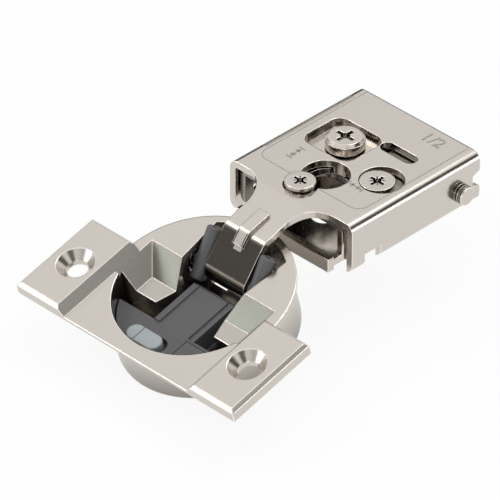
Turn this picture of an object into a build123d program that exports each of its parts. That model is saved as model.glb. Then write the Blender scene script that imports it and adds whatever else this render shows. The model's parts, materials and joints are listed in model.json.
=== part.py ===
"""Compact concealed cabinet hinge with a soft-close cup, shown with the door fully open.

The row frame is the arm's: X along the hinge axis, Y from the cup towards the back of
the arm, Z up from the cabinet frame that the base plate sits on. The cup keeps a frame
of its own, tilted about the hinge axis by the angle that the door opens past square.
"""

import os
from math import cos, radians, sin, sqrt, tan

from build123d import *

os.makedirs("parts", exist_ok=True)

# Fits
running_gap = 0.05
side_gap = 0.35
seat_gap = 0.02

# Opening: the door stands this far past a right angle to the arm
open_past_square = 15.0

# Cup boss, flange and wings
boss_radius = 17.5
boss_depth = 10.0
boss_floor = 1.0
flange_thickness = 0.7
flange_radius = 18.55
wing_thickness = 2.7
wing_inner = 17.8
wing_outer = 28.4
wing_front = -19.6
wing_back = 0.75
wing_bevel = 0.7
screw_spacing = 45.0
screw_line = -9.5
screw_hole_radius = 2.1
screw_sink_radius = 3.8

# Recess over the cheeks and the mouth between them
recess_depth = 4.1
recess_floor_half = 12.7
ramp_top = 4.1
ramp_foot = -0.5
ledge_front = -4.7
cavity_radius = 16.4
mouth_back_radius = 17.0
mouth_back_half = 9.1
mouth_top_half = 8.2
mouth_foot_half = 6.4
mouth_front_half = 7.7
undercut_half = 8.9
undercut_roof = 1.3

# Pivot in the cup's frame, and its axle
pivot_back = 8.6
pivot_drop = 3.5
axle_radius = 1.1
axle_half = 14.3

# Closing springs on the axle
spring_wire = 0.8
spring_radius = 1.75
spring_turns = 3
spring_pocket_radius = 2.9
spring_pocket_end = 12.2

# Rocking levers of the damper
lever_radius = 1.5
lever_offset = 6.95
lever_top_back = 12.3
lever_top_rise = 2.4
lever_foot_back = 5.2
lever_foot_drop = 5.4
lever_hub_radius = 2.2
lever_eye_radius = 0.5
lever_eye_depth = 1.6

# Damper housing, its cover and its switch
damper_top_drop = 3.7
rail_half = 5.0
rail_back = 3.9
rail_back_chamfer = 0.9
crossbar_back = -7.7
crossbar_rim_gap = 0.15
tray_thickness = 0.8
strip_width = 1.3
strip_height = 0.35
cover_width = 5.4
cover_length = 4.5
cover_place = 6.6
cover_thickness = 0.5
switch_length = 8.2
switch_width = 3.6
switch_rise = 0.35
switch_depth = 1.4
switch_travel = 1.2
switch_place = -3.4
switch_line = -12.1

# Arm channel
sheet = 1.45
arm_half = 16.0
arm_length = 34.3
arm_front = -8.8
arm_top = 11.15
arm_wall_foot = 0.35
arm_bend = 1.8
leg_length = 3.4
notch_length = 4.3
notch_height = 3.0
rear_notch_depth = 1.9
rear_notch_height = 3.6
rear_notch_mid = 5.6
rear_corner = 2.0

# Neck and knuckle
neck_half = 5.1
neck_root = 6.5
neck_start = -10.6
neck_slope = 17.0
knuckle_slope = 53.0
neck_bend = 2.6
knuckle_bend = 2.0
neck_sheet = 1.35
bush_wall = 0.25
curl_opening = 1.2
rib_width = 2.6
rib_height = 0.8

# Pivot's place in the row frame
pivot_y = -23.7
pivot_z = -0.4

# Screws and cam
access_radius = 4.7
access_x = 0.5
clamp_x = -5.0
clamp_y = 10.8
clamp_head_radius = 3.85
clamp_head_height = 2.3
clamp_head_proud = 1.0
clamp_shank_radius = 2.2
side_x = -0.5
side_y = -5.8
side_head_radius = 3.0
side_head_height = 0.8
side_collar_radius = 2.6
side_collar_drop = 1.0
side_neck_radius = 1.6
cam_x = 8.6
cam_y = 5.4
cam_radius = 3.35
cam_journal_radius = 2.7
cam_pin_radius = 0.9
cam_pin_room = 0.2
cam_swing = 60.0
cam_hole_radius = 4.4
recess_drive_depth = 1.2

# Pocket, window and slot in the arm's top
pocket_left = -11.5
pocket_right = 0.8
pocket_front = 5.1
pocket_back = 16.0
pocket_corner = 2.4
pocket_depth = 1.7
pocket_wall = 0.8
window_right = 9.5
window_front = 13.3
window_back = 16.3
side_slot_left = -4.0
side_slot_right = 3.0

# Slide, bridge and base plate below the arm
slide_travel = 1.5
slide_half = 14.2
slide_sheet = 1.3
slide_front = -7.8
slide_back = 23.6
slide_foot = 2.0
bridge_sheet = 1.4
bridge_front = -6.5
bridge_back = 17.5
base_half = 11.2
base_sheet = 1.5
base_wall = 1.3
lip_front = -11.1
lip_height = 2.9
lip_thickness = 1.6
lip_half = 12.0
fixing_hole_radius = 2.4
rivet_radius = 1.0
nut_radius = 3.6
nut_height = 2.6

# Rear pin
pin_y = 20.4
pin_z = 4.6
pin_radius = 1.5
pin_head_radius = 1.95
pin_head_length = 1.8
pin_groove_width = 0.4
pin_groove_depth = 0.3

# Places that follow from the sizes above
arm_under = arm_top - sheet
arm_back = arm_front + arm_length
pocket_floor = arm_top - pocket_depth
tilt_gap = 0.35
cam_throw = slide_travel / sin(radians(cam_swing))
cam_pin_path = cam_throw * (1 - cos(radians(cam_swing)))
slide_top = arm_under - tilt_gap
bridge_top = slide_top - slide_sheet - running_gap
bridge_under = bridge_top - bridge_sheet
tilt = radians(open_past_square)
damper_top = -damper_top_drop
cup_floor = boss_floor - boss_depth
ledge_z = flange_thickness - recess_depth
barrel_inner = axle_radius + running_gap + bush_wall
barrel_outer = barrel_inner + neck_sheet
pin_end = arm_half + pin_head_length

cup_y = pivot_y - pivot_back * cos(tilt) - pivot_drop * sin(tilt)
cup_z = pivot_z - pivot_back * sin(tilt) + pivot_drop * cos(tilt)
cup_plane = Plane(origin=(0, cup_y, cup_z), x_dir=(1, 0, 0), z_dir=(0, -sin(tilt), cos(tilt)))

cup_axis = Axis(cup_plane.origin, cup_plane.z_dir)


def level(height):
    """Plane parallel to the base at a height in the row frame."""
    return Plane.XY.offset(height)


def across(y):
    """Upright plane across the arm, facing the cup."""
    return Plane(origin=(0, y, 0), x_dir=(1, 0, 0), z_dir=(0, -1, 0))


def beside(x):
    """Upright plane along the arm at one x."""
    return Plane(origin=(x, 0, 0), x_dir=(0, 1, 0), z_dir=(1, 0, 0))


def cup_level(height):
    """Plane parallel to the door at a height above its face."""
    return cup_plane.offset(height)


def cup_beside(x):
    """Plane square to the hinge axis, in the cup's own Y and Z."""
    return Plane(
        origin=cup_plane.from_local_coords(Vector(x, 0, 0)),
        x_dir=cup_plane.y_dir,
        z_dir=cup_plane.x_dir,
    )


def cup_across(y):
    """Plane square to the cup's own Y, facing away from the arm."""
    return Plane(
        origin=cup_plane.from_local_coords(Vector(0, y, 0)),
        x_dir=cup_plane.x_dir,
        z_dir=-cup_plane.y_dir,
    )


def finish(part, name):
    """Label one piece and write it out."""
    part.label = name
    export_step(part, f"parts/{name}.step")


def cross_drive(x, y, top, reach, blade, ribs):
    """Cutter for a cross recess, with short diagonal ribs where the drive has them."""
    with BuildPart() as cutter:
        with BuildSketch(level(top)):
            with Locations((x, y)):
                for turn in (0, 90):
                    Rectangle(2 * reach, blade, rotation=turn)
                Circle(reach * 0.45)
        extrude(amount=-recess_drive_depth, taper=8)
        if ribs:
            with BuildSketch(level(top)):
                with Locations((x, y)):
                    for turn in (45, 135):
                        Rectangle(1.7 * reach, blade * 0.35, rotation=turn)
            extrude(amount=-recess_drive_depth * 0.35)
    return cutter.part


# Cutter that leaves the cheeks as a ramp and a ledge, with the wings' sloping inner walls
wall_slope = (wing_inner - recess_floor_half) / (wing_thickness - ledge_z)
wall_at_flange = recess_floor_half + (flange_thickness - ledge_z) * wall_slope
with BuildPart() as recess:
    with BuildSketch(cup_beside(-wing_outer)):
        Polygon(
            (ramp_top, flange_thickness),
            (ramp_foot, ledge_z),
            (ledge_front - 1.0, ledge_z),
            (ledge_front - 1.0, flange_thickness),
            (wing_front - 1, flange_thickness),
            (wing_front - 1, wing_thickness + 1),
            (flange_radius + 1, wing_thickness + 1),
            (flange_radius + 1, flange_thickness),
            align=None,
        )
    extrude(amount=2 * wing_outer)
    with BuildSketch(cup_across(flange_radius + 1)):
        reach_up = wing_inner + wall_slope
        Polygon(
            (-recess_floor_half, ledge_z),
            (recess_floor_half, ledge_z),
            (reach_up, wing_thickness + 1),
            (-reach_up, wing_thickness + 1),
            align=None,
        )
    extrude(amount=2 * boss_radius + 6, mode=Mode.INTERSECT)

# Cutter for the mouth that the knuckle swings in, down to the cup's floor
mouth_back = sqrt(mouth_back_radius**2 - mouth_back_half**2)
with BuildPart() as mouth:
    with BuildSketch(cup_level(cup_floor)):
        with BuildLine():
            Polyline(
                (mouth_back_half, mouth_back),
                (mouth_top_half, ramp_top),
                (mouth_foot_half, ramp_foot),
                (mouth_front_half, ledge_front),
                (mouth_front_half + 1, ledge_front - 1),
                (-mouth_front_half - 1, ledge_front - 1),
                (-mouth_front_half, ledge_front),
                (-mouth_foot_half, ramp_foot),
                (-mouth_top_half, ramp_top),
                (-mouth_back_half, mouth_back),
            )
            ThreePointArc(
                (-mouth_back_half, mouth_back),
                (0, mouth_back_radius),
                (mouth_back_half, mouth_back),
            )
        make_face()
    extrude(amount=boss_depth + wing_thickness)
    # Front half of the cavity, round to the ledges
    with BuildSketch(cup_level(cup_floor)):
        Circle(cavity_radius)
        with Locations((0, boss_radius + ledge_front)):
            Rectangle(3 * boss_radius, 2 * boss_radius, mode=Mode.SUBTRACT)
    extrude(amount=boss_depth + wing_thickness)
    # Room under the cheeks for the levers
    with BuildSketch(cup_beside(-undercut_half)):
        Polygon(
            (ramp_foot + 3.2, cup_floor),
            (ramp_foot + 3.2, ledge_z + 0.9),
            (ramp_top + 1.4, flange_thickness - undercut_roof),
            (mouth_back - 0.4, flange_thickness - undercut_roof),
            (mouth_back - 0.4, cup_floor),
            align=None,
        )
    extrude(amount=2 * undercut_half)
    # Pockets for the closing springs
    with BuildSketch(cup_beside(-spring_pocket_end)):
        with Locations((pivot_back, -pivot_drop)):
            Circle(spring_pocket_radius)
    extrude(amount=2 * spring_pocket_end)

# Door cup: one casting with its boss, flange and screw wings
with BuildPart() as door_cup:
    with BuildSketch(cup_level(-boss_depth)):
        Circle(boss_radius)
    extrude(amount=boss_depth)
    with BuildSketch(cup_level(0)):
        Circle(flange_radius)
        with Locations((0, wing_front / 2)):
            Rectangle(2 * wing_inner + 0.2, -wing_front)
    extrude(amount=flange_thickness)
    wing_reach = wing_outer - recess_floor_half
    with BuildSketch(cup_level(0)):
        with Locations((0, (wing_front + wing_back) / 2)):
            with Locations((recess_floor_half + wing_reach / 2, 0), (-recess_floor_half - wing_reach / 2, 0)):
                Rectangle(wing_reach, wing_back - wing_front)
    extrude(amount=wing_thickness)
    wing_tops = door_cup.faces().sort_by(cup_axis)[-2:]
    outer_edges = wing_tops.edges().filter_by(lambda e: abs((e @ 0.5).X) > recess_floor_half + 1)
    chamfer(outer_edges, wing_bevel)
    add(recess.part, mode=Mode.SUBTRACT)
    add(mouth.part, mode=Mode.SUBTRACT)
    # Screw holes, sunk for a flat head
    with BuildSketch(cup_level(0)):
        with Locations((-screw_spacing / 2, screw_line), (screw_spacing / 2, screw_line)):
            Circle(screw_hole_radius)
    extrude(amount=wing_thickness, mode=Mode.SUBTRACT)
    with BuildSketch(cup_level(wing_thickness)):
        with Locations((-screw_spacing / 2, screw_line), (screw_spacing / 2, screw_line)):
            Circle(screw_sink_radius)
    extrude(amount=-(screw_sink_radius - screw_hole_radius), taper=45, mode=Mode.SUBTRACT)
    # Axle hole, blind at both ends
    with BuildSketch(cup_beside(-axle_half - seat_gap)):
        with Locations((pivot_back, -pivot_drop)):
            Circle(axle_radius + seat_gap)
    extrude(amount=2 * (axle_half + seat_gap), mode=Mode.SUBTRACT)
    # Windows in the floor behind the damper
    with BuildSketch(cup_level(-boss_depth)):
        with Locations((-5.0, 10.0), (5.0, 10.0)):
            Rectangle(4.0, 3.6)
    extrude(amount=boss_floor, mode=Mode.SUBTRACT)

finish(door_cup.part, "door_cup")

# Axle, pressed into the casting's two blind holes
with BuildPart() as axle:
    with BuildSketch(cup_beside(-axle_half)):
        with Locations((pivot_back, -pivot_drop)):
            Circle(axle_radius)
    extrude(amount=2 * axle_half)
    chamfer(axle.edges().filter_by(GeomType.CIRCLE), axle_radius * 0.25)
finish(axle.part, "axle")


def closing_spring(side):
    """Torsion spring round the axle, with a straight leg down to the cup's floor."""
    inner_end = undercut_half + side_gap + spring_wire / 2
    coil_length = spring_pocket_end - side_gap - spring_wire / 2 - inner_end
    start = side * inner_end
    coil_start = cup_plane.from_local_coords(Vector(start, pivot_back, -pivot_drop))
    with BuildPart() as spring:
        with BuildLine() as wire:
            Helix(
                coil_length / spring_turns,
                coil_length,
                spring_radius,
                center=coil_start,
                direction=cup_plane.x_dir * side,
            )
        with BuildSketch(Plane(origin=wire.line @ 0, z_dir=wire.line % 0)):
            Circle(spring_wire / 2)
        sweep(path=wire.line)
    return spring.part


finish(closing_spring(-1), "closing_spring_left")
finish(closing_spring(1), "closing_spring_right")

# Damper levers: leaning rods that rock on the axle
lever_run = lever_top_back - lever_foot_back
lever_climb = lever_top_rise + lever_foot_drop
lever_length = sqrt(lever_run**2 + lever_climb**2)
lever_lean = Vector(0, lever_run / lever_length, lever_climb / lever_length)


def damper_lever(side):
    """One leaning rod with its eye on top and its hub on the axle."""
    foot = cup_plane.from_local_coords(Vector(side * lever_offset, lever_foot_back, -lever_foot_drop))
    lean = cup_plane.y_dir * lever_lean.Y + cup_plane.z_dir * lever_lean.Z
    foot_plane = Plane(origin=foot, x_dir=cup_plane.x_dir, z_dir=lean)
    with BuildPart() as lever:
        with BuildSketch(foot_plane):
            Circle(lever_radius)
        extrude(amount=lever_length)
        fillet(lever.edges().filter_by(GeomType.CIRCLE), lever_radius * 0.3)
        with BuildSketch(cup_beside(side * lever_offset - lever_radius)):
            with Locations((pivot_back, -pivot_drop)):
                Circle(lever_hub_radius)
        extrude(amount=2 * lever_radius)
        with BuildSketch(cup_beside(side * lever_offset - 2 * lever_radius)):
            with Locations((pivot_back, -pivot_drop)):
                Circle(axle_radius + running_gap)
        extrude(amount=4 * lever_radius, mode=Mode.SUBTRACT)
        with BuildSketch(foot_plane.offset(lever_length)):
            Circle(lever_eye_radius)
        extrude(amount=-lever_eye_depth, mode=Mode.SUBTRACT)
    return lever.part


finish(damper_lever(-1), "damper_lever_left")
finish(damper_lever(1), "damper_lever_right")

# Tray that clips the damper into the cup
tray_top = cup_floor + tray_thickness
with BuildPart() as damper_tray:
    with BuildSketch(cup_level(cup_floor + seat_gap)):
        Circle(cavity_radius - crossbar_rim_gap)
        with Locations((0, boss_radius + crossbar_back)):
            Rectangle(3 * boss_radius, 2 * boss_radius, mode=Mode.SUBTRACT)
        with Locations((0, (rail_back + crossbar_back) / 2)):
            Rectangle(2 * rail_half + 1.0, rail_back - crossbar_back + 0.2)
    extrude(amount=tray_thickness - seat_gap)
finish(damper_tray.part, "damper_tray")

# Damper housing: a rail over the cylinder and a crossbar round the cup's front
crossbar_radius = cavity_radius - crossbar_rim_gap
with BuildPart() as damper_housing:
    with BuildSketch(cup_beside(-rail_half)):
        Polygon(
            (crossbar_back - 0.1, tray_top),
            (rail_back, tray_top),
            (rail_back, damper_top - rail_back_chamfer),
            (rail_back - rail_back_chamfer, damper_top),
            (crossbar_back - 0.1, damper_top),
            align=None,
        )
    extrude(amount=2 * rail_half)
    with BuildSketch(cup_level(tray_top)):
        Circle(crossbar_radius)
        with Locations((0, boss_radius + crossbar_back)):
            Rectangle(3 * boss_radius, 2 * boss_radius, mode=Mode.SUBTRACT)
    extrude(amount=damper_top - tray_top)
    with BuildSketch(cup_level(damper_top)):
        with Locations((-rail_half + strip_width / 2, (rail_back - rail_back_chamfer + crossbar_back) / 2)):
            Rectangle(strip_width, rail_back - rail_back_chamfer - crossbar_back)
    extrude(amount=strip_height)
    # Step along the rail's right side
    with BuildSketch(cup_level(damper_top)):
        with Locations((rail_half - strip_width / 2, (rail_back + crossbar_back) / 2)):
            Rectangle(strip_width, rail_back - crossbar_back)
    extrude(amount=-strip_height, mode=Mode.SUBTRACT)
    # Slot that the switch slides in
    with BuildSketch(cup_level(damper_top)):
        with Locations((switch_place + switch_travel / 2, switch_line)):
            SlotOverall(switch_length + switch_travel + 2 * running_gap, switch_width + 2 * running_gap)
    extrude(amount=-switch_depth, mode=Mode.SUBTRACT)
    # Seat for the cover beside the switch
    with BuildSketch(cup_level(damper_top)):
        with Locations((cover_place, crossbar_back - cover_length / 2 - 0.5)):
            Rectangle(cover_width, cover_length)
    extrude(amount=-cover_thickness, mode=Mode.SUBTRACT)
finish(damper_housing.part, "damper_housing")

with BuildPart() as damper_cover:
    with BuildSketch(cup_level(damper_top - cover_thickness)):
        with Locations((cover_place, crossbar_back - cover_length / 2 - 0.5)):
            Rectangle(cover_width - 2 * running_gap, cover_length - 2 * running_gap)
    extrude(amount=cover_thickness)
    chamfer(damper_cover.faces().sort_by(cup_axis)[-1].edges(), 0.12)
finish(damper_cover.part, "damper_cover")

# Switch of the damper, a rounded slide with a groove across it
with BuildPart() as damper_switch:
    with BuildSketch(cup_level(damper_top - switch_depth + running_gap)):
        with Locations((switch_place, switch_line)):
            SlotOverall(switch_length, switch_width)
    extrude(amount=switch_depth - running_gap + switch_rise)
    fillet(damper_switch.faces().sort_by(cup_axis)[-1].edges(), 0.3)
    with BuildSketch(cup_level(damper_top + switch_rise)):
        with Locations((switch_place - switch_length / 6, switch_line)):
            Rectangle(0.25, switch_width)
    extrude(amount=-0.2, mode=Mode.SUBTRACT)
finish(damper_switch.part, "damper_switch")

# Arm: one folded sheet, from the knuckle over the neck to the channel
slope = radians(neck_slope)
fall = radians(knuckle_slope)
mid_radius = barrel_inner + neck_sheet / 2
plate_mid = arm_top - neck_sheet / 2
touch_y = pivot_y - mid_radius * sin(fall)
touch_z = pivot_z + mid_radius * cos(fall)
neck_run = neck_start - touch_y
neck_drop = plate_mid - touch_z
bend_run = (neck_drop - neck_run * tan(slope)) / (tan(fall) - tan(slope))
bend_point = (touch_y + bend_run, touch_z + bend_run * tan(fall))
rib_start = 0.30
rib_end = 0.62

with BuildPart() as arm_channel:
    with BuildSketch(beside(0)):
        with BuildLine() as neck_line:
            FilletPolyline(
                (arm_front + 4, plate_mid),
                (neck_start, plate_mid),
                bend_point,
                (touch_y, touch_z),
                radius=(knuckle_bend, neck_bend),
            )
        trace(line_width=neck_sheet)
    extrude(amount=neck_half + neck_root, both=True)
    with BuildSketch(beside(0)):
        with Locations((pivot_y, pivot_z)):
            Circle(barrel_outer)
    extrude(amount=neck_half + neck_root, both=True)
    with BuildSketch(beside(0)):
        with Locations((pivot_y, pivot_z)):
            Circle(barrel_inner)
    extrude(amount=neck_half + neck_root, both=True, mode=Mode.SUBTRACT)
    # Trim both sides to the neck's outline, with round roots
    with BuildSketch(level(-10)):
        for side in (-1, 1):
            with BuildLine():
                ThreePointArc(
                    (side * (neck_half + neck_root), arm_front),
                    (
                        side * (neck_half + neck_root * (1 - sqrt(0.5))),
                        arm_front - neck_root * (1 - sqrt(0.5)),
                    ),
                    (side * neck_half, arm_front - neck_root),
                )
                Polyline(
                    (side * neck_half, arm_front - neck_root),
                    (side * neck_half, pivot_y - 2 * barrel_outer),
                    (side * arm_half, pivot_y - 2 * barrel_outer),
                    (side * arm_half, arm_front),
                    (side * (neck_half + neck_root), arm_front),
                )
            make_face()
    extrude(amount=30, mode=Mode.SUBTRACT)
    # Gap where the curled end meets the neck
    with BuildSketch(beside(0)):
        with Locations((pivot_y + mid_radius, pivot_z + mid_radius)):
            Rectangle(curl_opening, 2 * neck_sheet, rotation=45)
    extrude(amount=neck_half, both=True, mode=Mode.SUBTRACT)
    # Channel
    with BuildSketch(across(arm_back)) as channel_section:
        with Locations((0, (arm_top + arm_wall_foot) / 2)):
            Rectangle(2 * arm_half, arm_top - arm_wall_foot)
        fillet(channel_section.vertices().group_by(Axis.Z)[-1], arm_bend)
        with BuildSketch(mode=Mode.PRIVATE) as inside:
            with Locations((0, (arm_under + arm_wall_foot) / 2)):
                Rectangle(2 * (arm_half - sheet), arm_under - arm_wall_foot)
            fillet(inside.vertices().group_by(Axis.Y)[-1], arm_bend - sheet)
        add(inside.sketch, mode=Mode.SUBTRACT)
    extrude(amount=arm_length)
    # Pocket pressed down round the clamping screw
    pocket_middle = ((pocket_left + pocket_right) / 2, (pocket_front + pocket_back) / 2)
    pocket_width = pocket_right - pocket_left
    pocket_length = pocket_back - pocket_front
    with BuildSketch(level(arm_under)):
        with Locations(pocket_middle):
            RectangleRounded(pocket_width + 2 * pocket_wall, pocket_length + 2 * pocket_wall, pocket_corner)
    extrude(amount=-pocket_depth + 0.25)
    with BuildSketch(level(arm_top)):
        with Locations(pocket_middle):
            RectangleRounded(pocket_width, pocket_length, pocket_corner)
    extrude(amount=-pocket_depth, taper=12, mode=Mode.SUBTRACT)
    # Slot for the clamping screw, window, cam hole, access hole and side screw's slot
    with BuildSketch(level(0)):
        with Locations((clamp_x, clamp_y)):
            SlotOverall(2 * (clamp_shank_radius + side_gap + slide_travel), 2 * (clamp_shank_radius + side_gap))
        with Locations((cam_x + 0.5, cam_y + 0.7)):
            Circle(cam_hole_radius)
        with Locations((access_x, 0)):
            Circle(access_radius)
        with Locations(((side_slot_left + side_slot_right) / 2, side_y)):
            SlotOverall(side_slot_right - side_slot_left, 2 * (side_collar_radius + side_gap))
        with Locations((access_x - 0.2, side_y / 2)):
            Rectangle(4.0, -side_y)
        with Locations(((pocket_right + window_right) / 2, (window_front + window_back) / 2)):
            SlotOverall(window_right - pocket_right, window_back - window_front)
    extrude(amount=arm_top + 1, mode=Mode.SUBTRACT)
    # Feet of the side walls: a leg at the front, a notch, and round rear corners
    with BuildSketch(beside(0)):
        notch_mid = arm_front + leg_length + notch_length / 2
        with Locations((notch_mid, arm_wall_foot + notch_height / 2)):
            Rectangle(notch_length, notch_height)
        half_notch = rear_notch_height / 2
        Polygon(
            (arm_back, rear_notch_mid - half_notch),
            (arm_back - rear_notch_depth, rear_notch_mid - half_notch + rear_notch_depth * 0.4),
            (arm_back - rear_notch_depth, rear_notch_mid + half_notch - rear_notch_depth * 0.4),
            (arm_back, rear_notch_mid + half_notch),
            align=None,
        )
    extrude(amount=arm_half, both=True, mode=Mode.SUBTRACT)
    # Holes that hold the rear pin
    with BuildSketch(beside(0)):
        with Locations((pin_y, pin_z)):
            Circle(pin_radius + seat_gap)
    extrude(amount=arm_half, both=True, mode=Mode.SUBTRACT)
    # Stiffening rib over the neck's bend
    with BuildSketch(beside(0)):
        with BuildLine() as rib_line:
            rib_lift = (neck_sheet + rib_height) / 2 - 0.1
            upper = (bend_point[0] + 5.0 * cos(slope), bend_point[1] + 5.0 * sin(slope) + rib_lift)
            corner = (bend_point[0] - rib_lift * 0.35, bend_point[1] + rib_lift)
            lower = (bend_point[0] - 2.6 * cos(fall) - rib_lift * sin(fall),
                     bend_point[1] - 2.6 * sin(fall) + rib_lift * cos(fall))
            FilletPolyline(upper, corner, lower, radius=2.0)
        trace(line_width=rib_height)
    extrude(amount=rib_width / 2, both=True)
finish(arm_channel.part, "arm_channel")

# Plastic bush between the knuckle and the axle
with BuildPart() as knuckle_bush:
    with BuildSketch(beside(0)):
        with Locations((pivot_y, pivot_z)):
            Circle(barrel_inner)
            Circle(axle_radius + running_gap, mode=Mode.SUBTRACT)
    extrude(amount=neck_half, both=True)
finish(knuckle_bush.part, "knuckle_bush")

# Rear pin with a grooved head outside each wall
with BuildPart() as rear_pin:
    with BuildSketch(beside(0)):
        with Locations((pin_y, pin_z)):
            Circle(pin_radius)
    extrude(amount=pin_end, both=True)
    with BuildSketch(beside(0)):
        with Locations((pin_y, pin_z)):
            Circle(pin_head_radius)
    extrude(amount=pin_end, both=True)
    with BuildSketch(beside(0)):
        with Locations((pin_y, pin_z)):
            Circle(2 * pin_head_radius)
            Circle(pin_radius, mode=Mode.SUBTRACT)
    extrude(amount=arm_half + seat_gap, both=True, mode=Mode.SUBTRACT)
    for side in (-1, 1):
        with BuildSketch(beside(side * (arm_half + pin_head_length * 0.45))):
            with Locations((pin_y, pin_z)):
                Circle(2 * pin_head_radius)
                Circle(pin_head_radius - pin_groove_depth, mode=Mode.SUBTRACT)
        extrude(amount=side * pin_groove_width, mode=Mode.SUBTRACT)
    chamfer(rear_pin.faces().sort_by(Axis.X)[-1].edges(), 0.2)
    chamfer(rear_pin.faces().sort_by(Axis.X)[0].edges(), 0.2)
finish(rear_pin.part, "rear_pin")

# Slide under the arm: a plate with an ear down each side
with BuildPart() as slide_plate:
    with BuildSketch(across(slide_back)) as slide_section:
        with Locations((0, (slide_top + slide_foot) / 2)):
            Rectangle(2 * slide_half, slide_top - slide_foot)
        fillet(slide_section.vertices().group_by(Axis.Z)[-1], slide_sheet)
        with Locations((0, (slide_top - slide_sheet + slide_foot) / 2)):
            Rectangle(2 * (slide_half - slide_sheet), slide_top - slide_sheet - slide_foot, mode=Mode.SUBTRACT)
    extrude(amount=slide_back - slide_front)
    with BuildSketch(level(slide_top)):
        with Locations(pocket_middle):
            pocket_clear = 2 * (pocket_wall + side_gap)
            Rectangle(pocket_width + pocket_clear, pocket_length + pocket_clear)
        with Locations((cam_x, cam_y)):
            Circle(cam_journal_radius + running_gap)
        with Locations((access_x, 0.6)):
            Circle(access_radius - 0.5)
        with Locations((side_x, side_y)):
            Circle(side_neck_radius + side_gap)
    extrude(amount=-slide_sheet, mode=Mode.SUBTRACT)
    # Ears: rear pin's hole and a lightening hole near the front
    with BuildSketch(beside(0)):
        with Locations((pin_y, pin_z)):
            Circle(pin_radius + running_gap)
        with Locations((slide_front + 3.4, slide_foot + 2.6)):
            Circle(1.3)
    extrude(amount=slide_half, both=True, mode=Mode.SUBTRACT)
finish(slide_plate.part, "slide_plate")

# Bridge that the slide runs on
with BuildPart() as bridge_plate:
    with BuildSketch(level(bridge_under)):
        with Locations((0, (bridge_front + bridge_back) / 2)):
            RectangleRounded(2 * base_half, bridge_back - bridge_front, 1.0)
        with Locations((0, 1.0)):
            SlotOverall(2 * (access_radius - 0.9 + slide_travel), 2 * (access_radius - 0.9), mode=Mode.SUBTRACT)
        with Locations((cam_x, cam_y + cam_throw - cam_pin_path / 2)):
            slot_width = 2 * (cam_pin_radius + cam_pin_room)
            SlotOverall(slot_width + cam_pin_path, slot_width, rotation=90, mode=Mode.SUBTRACT)
        with Locations((clamp_x, clamp_y)):
            Circle(clamp_shank_radius + running_gap, mode=Mode.SUBTRACT)
    extrude(amount=bridge_sheet)
finish(bridge_plate.part, "bridge_plate")

# Threaded nut under the bridge for the clamping screw
with BuildPart() as clamp_nut:
    with BuildSketch(level(bridge_under)):
        with Locations((clamp_x, clamp_y)):
            RegularPolygon(nut_radius, 6)
            Circle(clamp_shank_radius + running_gap, mode=Mode.SUBTRACT)
    extrude(amount=-nut_height)
finish(clamp_nut.part, "clamp_nut")

# Base plate: a floor with a lip in front and a wall down each side
with BuildPart() as base_plate:
    with BuildSketch(level(0)):
        with Locations((0, (lip_front + lip_thickness + bridge_back) / 2)):
            Rectangle(2 * base_half, bridge_back - lip_front - lip_thickness)
        with Locations((0, lip_front + lip_thickness / 2)):
            Rectangle(2 * lip_half, lip_thickness)
    extrude(amount=base_sheet)
    with BuildSketch(level(0)):
        with Locations((0, lip_front + lip_thickness / 2)):
            Rectangle(2 * lip_half, lip_thickness)
    extrude(amount=lip_height)
    with BuildSketch(level(0)):
        for side in (-1, 1):
            with Locations((side * (base_half - base_wall / 2), (bridge_front + bridge_back) / 2)):
                Rectangle(base_wall, bridge_back - bridge_front)
    extrude(amount=bridge_under)
    with BuildSketch(level(0)):
        Circle(fixing_hole_radius)
    extrude(amount=base_sheet, mode=Mode.SUBTRACT)
finish(base_plate.part, "base_plate")

# Clamping screw: large pan head on a straight shank
clamp_top = arm_top + clamp_head_proud
with BuildPart() as clamp_screw:
    with BuildSketch(level(clamp_top)):
        with Locations((clamp_x, clamp_y)):
            Circle(clamp_head_radius)
    extrude(amount=-clamp_head_height)
    chamfer(clamp_screw.faces().sort_by(Axis.Z)[-1].edges(), 0.6)
    with BuildSketch(level(clamp_top - clamp_head_height)):
        with Locations((clamp_x, clamp_y)):
            Circle(clamp_shank_radius)
    extrude(amount=-(clamp_top - clamp_head_height - bridge_under + nut_height + 0.4))
    add(cross_drive(clamp_x, clamp_y, clamp_top, 2.1, 0.8, False), mode=Mode.SUBTRACT)
finish(clamp_screw.part, "clamp_screw")

# Side screw: a disc above the arm, a collar below it and a short thread into the slide
side_top = arm_top + tilt_gap + side_head_height
with BuildPart() as side_screw:
    with BuildSketch(level(side_top)):
        with Locations((side_x, side_y)):
            Circle(side_head_radius)
    extrude(amount=-side_head_height)
    chamfer(side_screw.faces().sort_by(Axis.Z)[-1].edges(), 0.15)
    with BuildSketch(level(side_top - side_head_height)):
        with Locations((side_x, side_y)):
            Circle(side_collar_radius)
    extrude(amount=-(tilt_gap + side_collar_drop))
    with BuildSketch(level(arm_top - side_collar_drop)):
        with Locations((side_x, side_y)):
            Circle(side_neck_radius)
    extrude(amount=-(arm_top - side_collar_drop - bridge_top - tilt_gap))
    add(cross_drive(side_x, side_y, side_top, 1.5, 0.6, True), mode=Mode.SUBTRACT)
finish(side_screw.part, "side_screw")

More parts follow.
